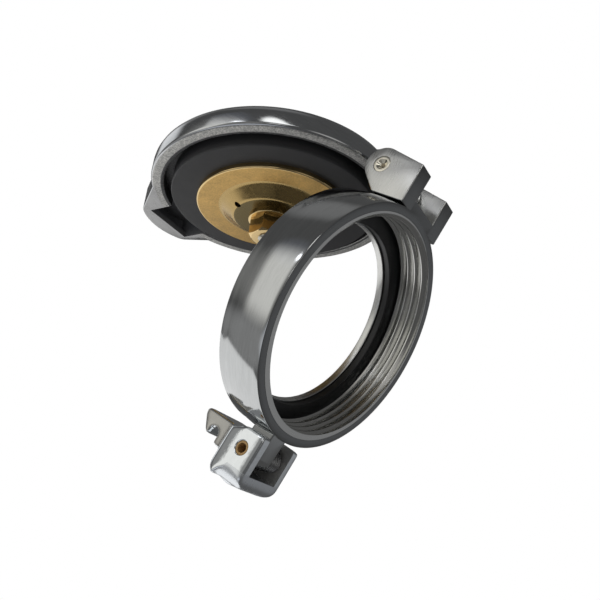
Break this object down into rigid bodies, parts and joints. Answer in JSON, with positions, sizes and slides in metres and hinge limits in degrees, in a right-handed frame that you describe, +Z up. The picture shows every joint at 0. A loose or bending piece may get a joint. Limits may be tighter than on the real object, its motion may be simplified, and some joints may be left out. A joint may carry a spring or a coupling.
{
  "type": "hinged latching pipe cap",
  "caption": "Hinged, latching cap that screws on a two inch pipe end: threaded ring, swinging lid with a rubber seal, and a sprung catch.",
  "frame": {"origin": "centre of the thread's mouth, on the ring's flat lower face", "axes": "+Z up the thread's axis towards the lid's seat, +Y towards the hinge, -Y towards the latch"},
  "size_m": [0.0702, 0.0931, 0.087],
  "materials": {
    "ring_metal": "polished cast",
    "lid_metal": "polished cast, rough underside",
    "gasket_rubber": "matt",
    "seal_rubber": "matt",
    "brass": "brushed",
    "latch_chrome": "mirror plated",
    "steel": "plain"
  },
  "bodies": {
    "ring": {"body_ring": "ring_metal", "pipe_gasket": "gasket_rubber", "hinge_pin": "steel", "latch_spring": "steel"},
    "lid": {"lid_shell": "lid_metal", "seal_disc": "seal_rubber", "retainer_disc": "brass", "centre_stud": "steel", "nut_washer": "brass", "centre_nut": "brass"},
    "latch": {"latch_lever": "latch_chrome", "latch_pin": "brass"}
  },
  "joints": [
    {"name": "lid_hinge", "type": "hinge", "parent": "ring", "child": "lid", "pos_m": [0, 0.0384, 0.011], "axis": [-1, 0, 0], "range_deg": [-60.4, 112]},
    {"name": "latch_turn", "type": "hinge", "parent": "ring", "child": "latch", "pos_m": [0, -0.0379, 0.0043], "axis": [-1, 0, 0], "range_deg": [0, 14], "stiffness_Nm_per_rad": 0.05, "springref_deg": -17.19, "deforming": ["latch_spring"]}
  ]
}
